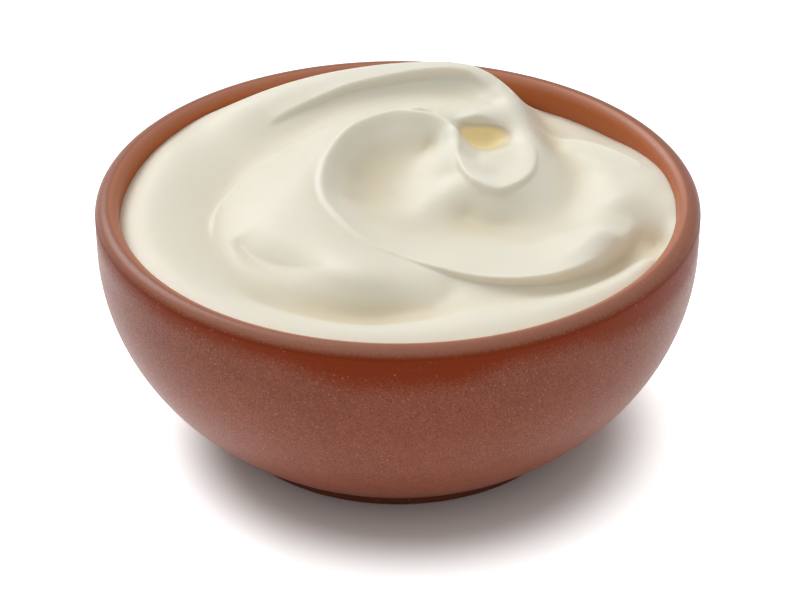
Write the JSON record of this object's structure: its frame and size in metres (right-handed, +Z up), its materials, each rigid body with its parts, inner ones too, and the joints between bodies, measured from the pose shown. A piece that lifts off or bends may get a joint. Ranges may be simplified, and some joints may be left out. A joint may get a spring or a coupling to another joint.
{
  "type": "bowl of yogurt",
  "caption": "Round stoneware bowl on a foot ring, filled with thick cream-coloured yogurt swirled by a spoon into a high ridge, a scoop and a curled eye.",
  "frame": {"origin": "middle of the underside of the foot ring, on the table", "axes": "+Z up out of the bowl's mouth, -Y towards the front of the swirl, +X to its right with the fold's lip on that side"},
  "size_m": [0.13, 0.13, 0.0615],
  "materials": {
    "stoneware": "satin reddish-brown glaze with a fine sandy speckle",
    "yogurt": "thick wet cream-coloured dairy, soft satin, translucent at thin edges"
  },
  "bodies": {
    "root": {"bowl": "stoneware", "yogurt": "yogurt"}
  },
  "joints": []
}
